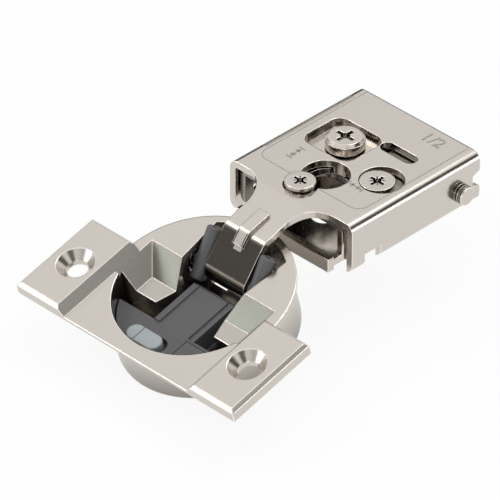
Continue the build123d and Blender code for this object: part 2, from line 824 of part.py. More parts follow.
# Height cam: a flush disc, its journal in the slide and an eccentric pin in the bridge
with BuildPart() as height_cam:
    with BuildSketch(level(arm_top - running_gap)):
        with Locations((cam_x, cam_y)):
            Circle(cam_radius)
    extrude(amount=-(arm_top - slide_top - 2 * running_gap))
    with BuildSketch(level(slide_top + running_gap)):
        with Locations((cam_x, cam_y)):
            Circle(cam_journal_radius)
    extrude(amount=-(slide_sheet + running_gap))
    with BuildSketch(level(slide_top - slide_sheet)):
        with Locations((cam_x, cam_y + cam_throw)):
            Circle(cam_pin_radius)
    extrude(amount=-(bridge_sheet + running_gap))
    add(cross_drive(cam_x, cam_y, arm_top - running_gap, 1.7, 0.7, True), mode=Mode.SUBTRACT)
finish(height_cam.part, "height_cam")
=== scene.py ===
"""Looks of the concealed hinge: finishes, screws, stamped signs and a plain studio."""

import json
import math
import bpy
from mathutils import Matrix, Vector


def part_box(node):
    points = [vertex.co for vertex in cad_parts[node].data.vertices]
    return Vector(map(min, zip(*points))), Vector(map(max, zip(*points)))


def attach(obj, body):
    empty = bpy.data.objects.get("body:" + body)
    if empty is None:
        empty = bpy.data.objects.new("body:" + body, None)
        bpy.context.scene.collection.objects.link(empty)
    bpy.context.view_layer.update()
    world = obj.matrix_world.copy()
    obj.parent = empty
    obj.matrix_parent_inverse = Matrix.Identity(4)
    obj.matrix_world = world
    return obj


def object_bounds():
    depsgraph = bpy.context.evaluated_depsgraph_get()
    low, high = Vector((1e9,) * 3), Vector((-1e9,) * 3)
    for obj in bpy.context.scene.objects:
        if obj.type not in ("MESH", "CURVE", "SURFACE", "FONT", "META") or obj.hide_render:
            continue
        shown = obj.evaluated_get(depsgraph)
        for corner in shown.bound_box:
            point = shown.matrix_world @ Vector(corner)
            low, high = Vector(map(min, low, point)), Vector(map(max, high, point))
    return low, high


bl_info = {
    "name": "Concealed Hinge Looks",
    "version": (1, 0, 0),
    "blender": (4, 5, 0),
    "location": "View3D > Sidebar > Hinge",
    "description": "Finishes and small parts of a concealed cabinet hinge around its packed model",
    "category": "Object",
}

import bpy
from mathutils import Vector

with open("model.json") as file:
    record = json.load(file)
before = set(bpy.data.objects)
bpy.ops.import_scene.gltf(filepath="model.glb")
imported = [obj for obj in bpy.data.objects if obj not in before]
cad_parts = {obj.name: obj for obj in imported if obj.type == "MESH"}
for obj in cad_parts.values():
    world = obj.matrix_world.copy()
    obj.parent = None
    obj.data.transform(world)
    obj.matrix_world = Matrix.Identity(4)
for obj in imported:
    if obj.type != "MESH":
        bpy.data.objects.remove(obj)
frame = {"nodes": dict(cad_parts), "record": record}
NODES = frame["nodes"]
CAD_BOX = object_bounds()
MM = 0.001

# The cup's own tilt: where its plane's middle is, which way is down into it, and how deep
TILT = math.radians(15)
CUP_MOUNT = next(mount for mount in frame["record"]["mounts"] if mount["name"] == "cup_boss")
CUP_DOWN = Vector((0, math.sin(TILT), -math.cos(TILT)))
BOSS_DEPTH = CUP_MOUNT["dims"]["length_mm"] * MM
CUP_PLACE = Vector(CUP_MOUNT["pos_m"]) - CUP_DOWN * BOSS_DEPTH / 2

# Recess: lean of its side walls and ramps in that tilt, how near a face must come to it, the ramps' painted
# reflection
#  grey, the walls' darkest grain and roughness, and the half width and front of the region
WALL_NORMAL = (0.767, -0.166, 0.619)
RAMP_NORMAL = (0.0, -0.836, 0.549)
RAMP_PAINTED_REFLECTION = (0.29, 0.295, 0.255)
SAME_LEAN = 0.985
SPECKLE = 0.7
WALL_ROUGHNESS = 0.55
RECESS_HALF = 18.6 * MM
RECESS_FRONT = CUP_PLACE.y - 12 * MM

# Fine line round the panel on the arm's top
PANEL_HALF = 13.4 * MM
PANEL_FRONT = -4.4 * MM
PANEL_CORNER = 2.4 * MM
PANEL_BACK_GAP = 0.1 * MM
LINE_WIDTH = 0.14 * MM
LINE_HEIGHT = 0.02 * MM
LINE_SPACING = 0.6 * MM
SIDE_LINE_SHARE = 0.8

# Openings that the line stops at: reach round the side screw, the cam and the access hole
SIDE_HOLE = 3.9 * MM
CAM_HOLE = 4.6 * MM
ACCESS_HOLE = 4.9 * MM
ACCESS_PLACE = (0.5 * MM, 1.2 * MM)
CUTTER_DEPTH = 4 * MM

# Stamped signs on the arm's top: places and sizes; an arrow's shaft, tips and stops are shares of its half
MARK_HEIGHT = 0.04 * MM
MARK_WIDTH = 0.2 * MM
ARROW_HALF = 1.45 * MM
ARROW_HEAD = 0.75 * MM
SHAFT_LENGTH = 1.2
TIP_PLACE = 0.62
STOP_PLACE = 1.25
STOP_LENGTH = 1.1
SIDE_SIGN = (-8.6 * MM, 1.2 * MM)
HEIGHT_SIGN = (7.1 * MM, 1.1 * MM)
NUMBER_PLACE = (6.9 * MM, 22.2 * MM)
NUMBER_SIZE = 4.1 * MM

# Painted shade on the neck's steep part, a dark grey for the dark cup inside that it reflects: the forward
# lean at which
#  it starts and is full, how far back it reaches, and the half width and lower end of the rib that stays
#  bright
PAINTED_SHADE_GREY = (0.085, 0.075, 0.064)
STEEP_STARTS = 0.60
STEEP_FULL = 0.76
NECK_FRONT = -12.0 * MM
RIB_HALF = 0.95 * MM
RIB_END = 5.1 * MM

# Painted shade on the boss's outer wall, darker towards its bottom: its brightness at the bottom against
# that under the flange, and its start
BOSS_PAINTED_SHADE = 0.42
BOSS_STARTS = 1.0 * MM

# Painted shade in creases: how far they reach, how closed they start and end, and their brightness
CREASE_REACH = 0.7 * MM
CREASE_STARTS = 0.12
CREASE_FULL = 0.6
CREASE_PAINTED_SHADE = 0.22

# Painted highlight on edges: how soon their turn counts as an edge, and how much brighter than the faces
# they are painted
EDGE_REACH = 9.0
EDGE_PAINTED_HIGHLIGHT = 1.6

# Fine texture: clouds, relief, spans of roughness, pitch of turning rings and the rolled sheet's grain
CLOUD_SCALE = 60
NOISE_SPAN = (0.3, 0.7)
METAL_CLOUD = 0.94
PLASTIC_CLOUD = 0.9
PLASTIC_BUMP = 0.25
PLASTIC_SCALE = 5200.0
METAL_ROUGH = (0.85, 1.2)
PLASTIC_ROUGH = (0.85, 1.15)
RELIEF = 0.02 * MM
RING_PITCH = 0.25 * MM
ROLLED = (1, 0.12, 1)
ROLLED_SCALE = 1800.0

# Steel inside: colour of the bright turned parts, the inner plates' painted shade as their brightness
# against the nickel,
#  and the share of X in a normal below which a face of the pin belongs to its shank
BRIGHT_STEEL = (0.55, 0.53, 0.50)
INNER_PAINTED_SHADE = 0.5
PIN_SIDE = 0.5

# Floor and camera
FLOOR_SIZE = 4.0
FLOOR_GAP = 0.1 * MM
SENSOR = 36

# Soft boxes: place, width, height in metres and brightness as a card, where 1 is white
LAMPS = (
    ((0.05, 0.42, 0.92), 0.45, 0.40, 2.2),
    ((0.78, 0.56, 0.10), 0.60, 0.30, 3.2),
    ((-0.55, -0.75, 0.17), 0.60, 0.16, 3.2),
    ((0.62, -0.70, 0.10), 0.50, 0.18, 2.4),
    ((-0.52, -0.33, 0.66), 0.30, 0.12, 3.2),
)

# Brightness of the surround against height, from the horizon (0) to straight up (1)
SKY_BANDS = ((0.0, 1.0), (0.10, 0.95), (0.18, 0.45), (0.34, 0.50), (0.50, 0.95), (0.66, 1.0), (1.0, 1.0))

# Flags that darken the surround: direction, inner and outer half angle in degrees, brightness;
# and their blue against their red and green
FLAG_WARMTH = 0.96
SKY_FLAGS = (
    ((0.64, 0.50, 0.62), 12, 20, 0.06),
    ((-0.76, 0.65, 0.04), 19, 28, 0.04),
    ((0.70, -0.45, 0.62), 10, 18, 0.08),
)


def middle(node):
    """Middle of a node's box."""
    low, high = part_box(node)
    return (low + high) / 2


class HingeFinish(bpy.types.PropertyGroup):
    """Colours and surface sizes of the hinge."""

    nickel: bpy.props.FloatVectorProperty(
        name="Nickel", description="Colour of the nickel plating", subtype="COLOR", size=3,
        min=0, max=1, default=(0.63, 0.585, 0.535),
    )
    nickel_roughness: bpy.props.FloatProperty(
        name="Nickel Roughness", description="Roughness of the plated sheet", min=0, max=1, default=0.17,
    )
    damper: bpy.props.FloatVectorProperty(
        name="Damper Grey", description="Colour of the damper's plastic", subtype="COLOR", size=3,
        min=0, max=1, default=(0.105, 0.105, 0.11),
    )
    switch: bpy.props.FloatVectorProperty(
        name="Switch Grey", description="Colour of the damper's switch", subtype="COLOR", size=3,
        min=0, max=1, default=(0.42, 0.47, 0.48),
    )
    cast_grey: bpy.props.FloatVectorProperty(
        name="Cast Grey", description="Colour of the unpolished recess walls", subtype="COLOR", size=3,
        min=0, max=1, default=(0.47, 0.445, 0.41),
    )
    # Painted shade: the stamped signs and panel line are grey, standing in for the shade of stamped grooves
    mark: bpy.props.FloatVectorProperty(
        name="Mark Grey", description="Colour of the stamped signs", subtype="COLOR", size=3,
        min=0, max=1, default=(0.42, 0.39, 0.355),
    )
    edge_radius: bpy.props.FloatProperty(
        name="Edge Radius", description="Softness of stamped and cast edges", unit="LENGTH",
        min=0, max=0.001, default=0.00026,
    )


class HingeStage(bpy.types.PropertyGroup):
    """Camera, lamps and floor."""

    azimuth: bpy.props.FloatProperty(
        name="Azimuth", description="Camera's turn about the hinge", subtype="ANGLE",
        default=math.radians(45),
    )
    elevation: bpy.props.FloatProperty(
        name="Elevation", description="Camera's height angle", subtype="ANGLE",
        default=math.radians(35.26),
    )
    distance: bpy.props.FloatProperty(
        name="Distance", description="Camera's distance from the hinge", unit="LENGTH", default=1.2,
    )
    view_width: bpy.props.FloatProperty(
        name="View Width", description="Width of the view at the hinge", unit="LENGTH", default=0.0927,
    )
    target: bpy.props.FloatVectorProperty(
        name="Target", description="Point in the middle of the view", subtype="TRANSLATION", size=3,
        default=(0.0, -0.0195, 0.0034),
    )
    floor_grey: bpy.props.FloatProperty(
        name="Floor Grey", description="Brightness of the floor", min=0, max=1, default=0.93,
    )
    backdrop_share: bpy.props.FloatProperty(
        name="Backdrop Share", description="How far the seen floor goes to plain white",
        subtype="FACTOR", min=0, max=1, default=0.9,
    )


def new_group(name, inputs, outputs):
    """Make an empty node group with named inputs and outputs."""
    tree = bpy.data.node_groups.new(name, "ShaderNodeTree")
    for label, kind, default in inputs:
        tree.interface.new_socket(label, in_out="INPUT", socket_type=kind).default_value = default
    for label, kind in outputs:
        tree.interface.new_socket(label, in_out="OUTPUT", socket_type=kind)
    enter = tree.nodes.new("NodeGroupInput")
    leave = tree.nodes.new("NodeGroupOutput")
    return tree, enter, leave


def math_node(tree, operation, first, second):
    """Add a math node; its operands are sockets or plain numbers."""
    node = tree.nodes.new("ShaderNodeMath")
    node.operation = operation
    for index, operand in enumerate((first, second)):
        if hasattr(operand, "is_linked"):
            tree.links.new(operand, node.inputs[index])
        else:
            node.inputs[index].default_value = operand
    return node.outputs[0]


def shared(build):
    """Keep one copy of a node group, under its function's name."""
    def fetch():
        return bpy.data.node_groups.get(build.__name__) or build(build.__name__)
    return fetch


@shared
def soft_edges(name):
    """Rounded edge normal and a mask of the edges, from the Bevel node."""
    tree, enter, leave = new_group(
        name,
        [("Radius", "NodeSocketFloat", 0.0)],
        [("Normal", "NodeSocketVector"), ("Edge", "NodeSocketFloat")],
    )
    bevel = tree.nodes.new("ShaderNodeBevel")
    bevel.samples = 8
    plain = tree.nodes.new("ShaderNodeNewGeometry")
    dot = tree.nodes.new("ShaderNodeVectorMath")
    dot.operation = "DOT_PRODUCT"
    tree.links.new(enter.outputs["Radius"], bevel.inputs["Radius"])
    tree.links.new(bevel.outputs[0], dot.inputs[0])
    tree.links.new(plain.outputs["Normal"], dot.inputs[1])
    turned = math_node(tree, "SUBTRACT", 1.0, dot.outputs["Value"])
    edge = math_node(tree, "MULTIPLY", turned, EDGE_REACH)
    tree.links.new(bevel.outputs[0], leave.inputs["Normal"])
    tree.links.new(edge, leave.inputs["Edge"])
    return tree


@shared
def creases(name):
    """Mask of the creases and corners of a piece, for the painted shade laid in them."""
    tree, _, leave = new_group(name, [], [("Crease", "NodeSocketFloat")])
    reach = tree.nodes.new("ShaderNodeAmbientOcclusion")
    reach.samples = 8
    reach.only_local = True
    reach.inputs["Distance"].default_value = CREASE_REACH
    closed = math_node(tree, "SUBTRACT", 1.0, reach.outputs["AO"])
    deep = tree.nodes.new("ShaderNodeMapRange")
    deep.inputs["From Min"].default_value = CREASE_STARTS
    deep.inputs["From Max"].default_value = CREASE_FULL
    tree.links.new(closed, deep.inputs["Value"])
    tree.links.new(deep.outputs[0], leave.inputs["Crease"])
    return tree


@shared
def boss_depth(name):
    """Depth below the flange on the cup's outer wall, from 0 at the flange to 1 at the bottom."""
    tree, _, leave = new_group(name, [], [("Depth", "NodeSocketFloat")])
    place = tree.nodes.new("ShaderNodeTexCoord")
    along = tree.nodes.new("ShaderNodeVectorMath")
    along.operation = "DOT_PRODUCT"
    along.inputs[1].default_value = CUP_DOWN
    tree.links.new(place.outputs["Object"], along.inputs[0])
    depth = tree.nodes.new("ShaderNodeMapRange")
    tree.links.new(along.outputs["Value"], depth.inputs["Value"])
    level = CUP_DOWN.dot(CUP_PLACE)
    depth.inputs["From Min"].default_value = level + BOSS_STARTS
    depth.inputs["From Max"].default_value = level + BOSS_DEPTH
    tree.links.new(depth.outputs[0], leave.inputs["Depth"])
    return tree


@shared
def steep_neck(name):
    """Mask of the neck's faces that lean far forward, but for its rib."""
    tree, _, leave = new_group(name, [], [("Steep", "NodeSocketFloat")])
    place = tree.nodes.new("ShaderNodeTexCoord")
    split = tree.nodes.new("ShaderNodeSeparateXYZ")
    tree.links.new(place.outputs["Normal"], split.inputs[0])
    forward = math_node(tree, "MULTIPLY", split.outputs["Y"], -1.0)
    lean = tree.nodes.new("ShaderNodeMapRange")
    lean.interpolation_type = "SMOOTHSTEP"
    lean.inputs["From Min"].default_value = STEEP_STARTS
    lean.inputs["From Max"].default_value = STEEP_FULL
    tree.links.new(forward, lean.inputs["Value"])
    spot = tree.nodes.new("ShaderNodeSeparateXYZ")
    tree.links.new(place.outputs["Object"], spot.inputs[0])
    ahead = math_node(tree, "LESS_THAN", spot.outputs["Y"], NECK_FRONT)
    aside = math_node(tree, "GREATER_THAN", math_node(tree, "ABSOLUTE", spot.outputs["X"], 0.0), RIB_HALF)
    below = math_node(tree, "LESS_THAN", spot.outputs["Z"], RIB_END)
    plate = math_node(tree, "MULTIPLY", ahead, math_node(tree, "MAXIMUM", aside, below))
    tree.links.new(math_node(tree, "MULTIPLY", lean.outputs[0], plate), leave.inputs["Steep"])
    return tree


@shared
def metal_grain(name):
    """Fine rolled, cast or moulded grain, stretched along one axis, with slow cloudiness."""
    tree, enter, leave = new_group(
        name,
        [("Stretch", "NodeSocketVector", (1.0, 1.0, 1.0)), ("Scale", "NodeSocketFloat", 900.0)],
        [("Grain", "NodeSocketFloat"), ("Cloud", "NodeSocketFloat")],
    )
    place = tree.nodes.new("ShaderNodeTexCoord")
    stretch = tree.nodes.new("ShaderNodeVectorMath")
    stretch.operation = "MULTIPLY"
    grain = tree.nodes.new("ShaderNodeTexNoise")
    grain.inputs["Detail"].default_value = 3
    cloud = tree.nodes.new("ShaderNodeTexNoise")
    cloud.inputs["Scale"].default_value = CLOUD_SCALE
    cloud.inputs["Detail"].default_value = 2
    tree.links.new(place.outputs["Object"], stretch.inputs[0])
    tree.links.new(enter.outputs["Stretch"], stretch.inputs[1])
    tree.links.new(stretch.outputs[0], grain.inputs["Vector"])
    tree.links.new(enter.outputs["Scale"], grain.inputs["Scale"])
    tree.links.new(place.outputs["Object"], cloud.inputs["Vector"])
    tree.links.new(grain.outputs["Fac"], leave.inputs["Grain"])
    tree.links.new(cloud.outputs["Fac"], leave.inputs["Cloud"])
    return tree


def blank_material(name):
    """New material with a Principled shader and its tree."""
    material = bpy.data.materials.new(name)
    material.use_nodes = True
    tree = material.node_tree
    shader = tree.nodes["Principled BSDF"]
    return material, tree, shader


def place_group(tree, group):
    """Put a node group into a material."""
    node = tree.nodes.new("ShaderNodeGroup")
    node.node_tree = group
    return node


def spread(tree, value, middle_value, span):
    """Map a noise's usual span to one round a middle value, whose ends are shares of it."""
    node = tree.nodes.new("ShaderNodeMapRange")
    tree.links.new(value, node.inputs["Value"])
    node.inputs["From Min"].default_value, node.inputs["From Max"].default_value = NOISE_SPAN
    node.inputs["To Min"].default_value = middle_value * span[0]
    node.inputs["To Max"].default_value = middle_value * span[1]
    return node.outputs[0]


@shared
def recess_faces(name):
    """Masks of the recess's sloping walls and of its ramps, by the lean of their faces."""
    tree, _, leave = new_group(name, [], [("Wall", "NodeSocketFloat"), ("Ramp", "NodeSocketFloat")])
    place = tree.nodes.new("ShaderNodeTexCoord")
    fold = tree.nodes.new("ShaderNodeSeparateXYZ")
    tree.links.new(place.outputs["Normal"], fold.inputs[0])
    lean = tree.nodes.new("ShaderNodeCombineXYZ")
    tree.links.new(math_node(tree, "ABSOLUTE", fold.outputs["X"], 0.0), lean.inputs["X"])
    tree.links.new(fold.outputs["Y"], lean.inputs["Y"])
    tree.links.new(fold.outputs["Z"], lean.inputs["Z"])
    spot = tree.nodes.new("ShaderNodeSeparateXYZ")
    tree.links.new(place.outputs["Object"], spot.inputs[0])
    away = math_node(tree, "ABSOLUTE", spot.outputs["X"], 0.0)
    within = math_node(tree, "LESS_THAN", away, RECESS_HALF)
    behind = math_node(tree, "GREATER_THAN", spot.outputs["Y"], RECESS_FRONT)
    for output, normal, room in (
        ("Wall", WALL_NORMAL, within),
        ("Ramp", RAMP_NORMAL, math_node(tree, "MULTIPLY", within, behind)),
    ):
        along = tree.nodes.new("ShaderNodeVectorMath")
        along.operation = "DOT_PRODUCT"
        tree.links.new(lean.outputs[0], along.inputs[0])
        along.inputs[1].default_value = normal
        close = math_node(tree, "GREATER_THAN", along.outputs["Value"], SAME_LEAN)
        tree.links.new(math_node(tree, "MULTIPLY", close, room), leave.inputs[output])
    return tree


def scaled(color, factor):
    """Colour made brighter or darker, up to white."""
    return tuple(min(1.0, factor * channel) for channel in color)


def cover(tree, mask, under, over):
    """Lay one colour over another where a mask is set; each is a socket or a plain colour."""
    mix = tree.nodes.new("ShaderNodeMix")
    mix.data_type = "RGBA"
    tree.links.new(mask, mix.inputs[0])
    for socket, color in ((mix.inputs[6], under), (mix.inputs[7], over)):
        if hasattr(color, "is_linked"):
            tree.links.new(color, socket)
        else:
            socket.default_value = (*color, 1)
    return mix.outputs[2]


def surface(tree, shader, tint, rough, relief, bump, edges):
    """Wire a finish's colour, roughness and fine relief to its shader."""
    height = tree.nodes.new("ShaderNodeBump")
    height.inputs["Strength"].default_value = bump
    height.inputs["Distance"].default_value = RELIEF
    tree.links.new(relief, height.inputs["Height"])
    tree.links.new(edges.outputs["Normal"], height.inputs["Normal"])
    tree.links.new(tint, shader.inputs["Base Color"])
    tree.links.new(rough, shader.inputs["Roughness"])
    tree.links.new(height.outputs[0], shader.inputs["Normal"])


def metal(name, color, roughness, stretch=(1, 1, 1), scale=2400.0, bump=0.1, extra=None, softness=1.0):
    """Plated or bright metal with grain, cloudiness, painted shade in creases and painted highlights on its
    softened edges.
    """
    finish = bpy.context.scene.hinge_finish
    material, tree, shader = blank_material(name)
    edges = place_group(tree, soft_edges())
    edges.inputs["Radius"].default_value = finish.edge_radius * softness
    grain = place_group(tree, metal_grain())
    grain.inputs["Stretch"].default_value = stretch
    grain.inputs["Scale"].default_value = scale
    crease_shade = place_group(tree, creases())
    tint = cover(tree, grain.outputs["Cloud"], scaled(color, METAL_CLOUD), color)
    rough = spread(tree, grain.outputs["Grain"], roughness, METAL_ROUGH)
    relief = grain.outputs["Grain"]
    if extra:
        tint, rough, relief = extra(tree, tint, rough, relief, grain)
    # Painted highlight: edges get a brighter copy of the colour
    tint = cover(tree, edges.outputs["Edge"], tint, scaled(color, EDGE_PAINTED_HIGHLIGHT))
    # Painted shade: creases and corners are darkened
    tint = cover(tree, crease_shade.outputs["Crease"], tint, scaled(color, CREASE_PAINTED_SHADE))
    surface(tree, shader, tint, rough, relief, bump, edges)
    shader.inputs["Metallic"].default_value = 1.0
    return material


def unpolished_walls_and_painted_light(tree, tint, rough, relief, grain):
    """Matte cast grey on the recess's sloping walls, with a painted reflection grey on the ramps and
    painted shade darkening the boss towards its bottom.
    """
    finish = bpy.context.scene.hinge_finish
    recess = place_group(tree, recess_faces())
    wall = recess.outputs["Wall"]
    speckle = cover(tree, grain.outputs["Grain"], scaled(finish.cast_grey, SPECKLE), finish.cast_grey)
    matte = math_node(tree, "MULTIPLY", wall, WALL_ROUGHNESS)
    # Painted shade: the boss's outer wall is darkened towards its bottom
    boss_shade = place_group(tree, boss_depth()).outputs["Depth"]
    tint = cover(tree, boss_shade, tint, scaled(finish.nickel, BOSS_PAINTED_SHADE))
    # Painted reflection: the ramps get the grey of the surround they face
    tint = cover(tree, recess.outputs["Ramp"], tint, RAMP_PAINTED_REFLECTION)
    return cover(tree, wall, tint, speckle), math_node(tree, "MAXIMUM", rough, matte), relief


def shaded_neck(tree, tint, rough, relief, grain):
    """Painted shade in dark grey on the neck's steep part."""
    steep = place_group(tree, steep_neck()).outputs["Steep"]
    return cover(tree, steep, tint, PAINTED_SHADE_GREY), rough, relief


def pin_shank_shade(tree, tint, rough, relief, grain):
    """Painted shade on the shank of the pin that lies along X, in the neck's shade grey; its end faces stay
    bright nickel.
    """
    place = tree.nodes.new("ShaderNodeTexCoord")
    split = tree.nodes.new("ShaderNodeSeparateXYZ")
    tree.links.new(place.outputs["Normal"], split.inputs[0])
    endways = math_node(tree, "ABSOLUTE", split.outputs["X"], 0.0)
    side = math_node(tree, "LESS_THAN", endways, PIN_SIDE)
    return cover(tree, side, tint, PAINTED_SHADE_GREY), rough, relief


def turned_face(node):
    """Fine turning rings round the middle of a screw or cam."""
    def rings(tree, tint, rough, relief, grain):
        turned = place_group(tree, turned_rings())
        turned.inputs["Centre"].default_value = middle(node)
        return tint, rough, math_node(tree, "ADD", relief, turned.outputs["Rings"])
    return rings


@shared
def turned_rings(name):
    """Fine rings of a turned face round an upright centre line."""
    tree, enter, leave = new_group(
        name, [("Centre", "NodeSocketVector", (0.0, 0.0, 0.0))], [("Rings", "NodeSocketFloat")]
    )
    place = tree.nodes.new("ShaderNodeTexCoord")
    away = tree.nodes.new("ShaderNodeVectorMath")
    away.operation = "SUBTRACT"
    tree.links.new(place.outputs["Object"], away.inputs[0])
    tree.links.new(enter.outputs["Centre"], away.inputs[1])
    flat = tree.nodes.new("ShaderNodeVectorMath")
    flat.operation = "MULTIPLY"
    flat.inputs[1].default_value = (1, 1, 0)
    tree.links.new(away.outputs[0], flat.inputs[0])
    reach = tree.nodes.new("ShaderNodeVectorMath")
    reach.operation = "LENGTH"
    tree.links.new(flat.outputs[0], reach.inputs[0])
    phase = math_node(tree, "MULTIPLY", reach.outputs["Value"], math.tau / RING_PITCH)
    wave = math_node(tree, "SINE", phase, 0.0)
    tree.links.new(wave, leave.inputs["Rings"])
    return tree


def plastic(name, color, roughness):
    """Moulded plastic with a fine even texture and softened edges."""
    finish = bpy.context.scene.hinge_finish
    material, tree, shader = blank_material(name)
    edges = place_group(tree, soft_edges())
    edges.inputs["Radius"].default_value = finish.edge_radius
    grain = place_group(tree, metal_grain())
    grain.inputs["Scale"].default_value = PLASTIC_SCALE
    tint = cover(tree, grain.outputs["Cloud"], scaled(color, PLASTIC_CLOUD), color)
    rough = spread(tree, grain.outputs["Grain"], roughness, PLASTIC_ROUGH)
    surface(tree, shader, tint, rough, grain.outputs["Grain"], PLASTIC_BUMP, edges)
    return material


def dress(names, material):
    """Give CAD nodes one finish."""
    for name in names:
        node = NODES[name]
        node.data.materials.clear()
        node.data.materials.append(material)


class HINGE_OT_stage(bpy.types.Operator):
    """Floor, camera, lamps and world"""

    bl_idname = "hinge.stage"
    bl_label = "Stage"

    def execute(self, context):
        stage = context.scene.hinge_stage
        low = CAD_BOX[0]
        bpy.ops.object.select_all(action="DESELECT")
        bpy.ops.mesh.primitive_plane_add(size=FLOOR_SIZE, location=(0, 0, low[2] - FLOOR_GAP))
        floor = context.object
        floor.name = "floor"
        floor.data.materials.append(self.floor_card(stage))

        target = Vector(stage.target)
        heading = Vector((
            math.cos(stage.elevation) * math.sin(stage.azimuth),
            -math.cos(stage.elevation) * math.cos(stage.azimuth),
            math.sin(stage.elevation),
        ))
        bpy.ops.object.camera_add(location=target + heading * stage.distance)
        camera = context.object
        camera.rotation_euler = heading.to_track_quat("Z", "Y").to_euler()
        camera.data.sensor_width = SENSOR
        camera.data.lens = SENSOR * stage.distance / stage.view_width
        camera.data.clip_start = 0.01
        camera.data.clip_end = 20
        context.scene.camera = camera
        context.scene.view_settings.view_transform = "Standard"

        for place, width, height, level in LAMPS:
            self.lamp(context, Vector(place), target, width, height, level)
        self.world(context)
        return {"FINISHED"}

    def floor_card(self, stage):
        """Pale card that keeps the hinge's shadow and is seen nearly white."""
        material, tree, shader = blank_material("floor_card")
        grey = stage.floor_grey
        shader.inputs["Base Color"].default_value = (grey, grey, grey, 1)
        shader.inputs["Roughness"].default_value = 0.9
        shader.inputs["Specular IOR Level"].default_value = 0.1
        path = tree.nodes.new("ShaderNodeLightPath")
        seen = math_node(tree, "MAXIMUM", path.outputs["Is Camera Ray"], path.outputs["Is Glossy Ray"])
        seen = math_node(tree, "MAXIMUM", seen, path.outputs["Is Transmission Ray"])
        share = math_node(tree, "MULTIPLY", seen, stage.backdrop_share)
        white = tree.nodes.new("ShaderNodeEmission")
        white.inputs["Strength"].default_value = 1.0
        mix = tree.nodes.new("ShaderNodeMixShader")
        tree.links.new(share, mix.inputs[0])
        tree.links.new(shader.outputs[0], mix.inputs[1])
        tree.links.new(white.outputs[0], mix.inputs[2])
        tree.links.new(mix.outputs[0], tree.nodes["Material Output"].inputs["Surface"])
        return material

    def lamp(self, context, place, target, width, height, level):
        """Soft box aimed at the hinge; its level is its brightness as a card."""
        bpy.ops.object.light_add(type="AREA", location=place)
        lamp = context.object
        lamp.data.shape = "RECTANGLE"
        lamp.data.size = width
        lamp.data.size_y = height
        lamp.data.energy = level * math.pi * width * height
        lamp.rotation_euler = (place - target).to_track_quat("Z", "Y").to_euler()
        lamp.visible_camera = False

    def world(self, context):
        """Pale surround with a grey band low down and dark flags over it."""
        world = bpy.data.worlds.new("studio")
        context.scene.world = world
        world.use_nodes = True
        tree = world.node_tree
        background = tree.nodes["Background"]
        place = tree.nodes.new("ShaderNodeTexCoord")
        split = tree.nodes.new("ShaderNodeSeparateXYZ")
        tree.links.new(place.outputs["Generated"], split.inputs[0])
        ramp = tree.nodes.new("ShaderNodeValToRGB")
        tree.links.new(split.outputs["Z"], ramp.inputs[0])
        stops = ramp.color_ramp.elements
        stops[0].position, stops[1].position = SKY_BANDS[0][0], SKY_BANDS[-1][0]
        for position, level in SKY_BANDS[1:-1]:
            stops.new(position)
        for stop, (position, level) in zip(stops, SKY_BANDS):
            stop.color = (level, level, level, 1)
        shade = ramp.outputs[0]
        for flag, inner, outer, level in SKY_FLAGS:
            near = tree.nodes.new("ShaderNodeVectorMath")
            near.operation = "DOT_PRODUCT"
            tree.links.new(place.outputs["Generated"], near.inputs[0])
            near.inputs[1].default_value = Vector(flag).normalized()
            mask = tree.nodes.new("ShaderNodeMapRange")
            mask.interpolation_type = "SMOOTHSTEP"
            tree.links.new(near.outputs["Value"], mask.inputs["Value"])
            mask.inputs["From Min"].default_value = math.cos(math.radians(outer))
            mask.inputs["From Max"].default_value = math.cos(math.radians(inner))
            shade = cover(tree, mask.outputs[0], shade, (level, level, level * FLAG_WARMTH))
        tree.links.new(shade, background.inputs["Color"])
        background.inputs["Strength"].default_value = 1.0


class HINGE_OT_cup_finish(bpy.types.Operator):
    """Finish of the cast door cup and its bright inner parts"""

    bl_idname = "hinge.cup_finish"
    bl_label = "Door Cup"

    def execute(self, context):
        finish = context.scene.hinge_finish
        cast = metal(
            "cast_nickel", finish.nickel, finish.nickel_roughness * 1.25, scale=3200.0, bump=0.2,
            extra=unpolished_walls_and_painted_light, softness=1.5,
        )
        dress(["door_cup"], cast)
        bright = metal("bright_steel", BRIGHT_STEEL, 0.25, scale=1500.0)
        dress(["axle", "closing_spring_left", "closing_spring_right", "clamp_nut"], bright)
        return {"FINISHED"}


class HINGE_OT_arm_finish(bpy.types.Operator):
    """Finish of the folded arm and the plates below it"""

    bl_idname = "hinge.arm_finish"
    bl_label = "Arm and Plates"

    def execute(self, context):
        finish = context.scene.hinge_finish
        rolled = metal(
            "sheet_nickel", finish.nickel, finish.nickel_roughness, stretch=ROLLED, scale=ROLLED_SCALE,
        )
        dress(["base_plate"], rolled)
        # Painted shade: the plates inside the base are darkened nickel
        inner = scaled(finish.nickel, INNER_PAINTED_SHADE)
        plates = metal("inner_steel", inner, 0.24, stretch=ROLLED, scale=ROLLED_SCALE)
        dress(["slide_plate", "bridge_plate"], plates)
        folded = metal(
            "arm_nickel", finish.nickel, finish.nickel_roughness, stretch=ROLLED, scale=ROLLED_SCALE,
            extra=shaded_neck,
        )
        dress(["arm_channel"], folded)
        return {"FINISHED"}


class HINGE_OT_screws(bpy.types.Operator):
    """Finish of the screws, the cam and the rear pin"""

    bl_idname = "hinge.screws"
    bl_label = "Screws and Pin"

    def execute(self, context):
        finish = context.scene.hinge_finish
        for node in ("clamp_screw", "side_screw", "height_cam"):
            turned = metal(
                node + "_nickel", finish.nickel, finish.nickel_roughness, bump=0.12, extra=turned_face(node)
            )
            dress([node], turned)
        dress(["rear_pin"], metal("pin_nickel", finish.nickel, finish.nickel_roughness, extra=pin_shank_shade))
        return {"FINISHED"}


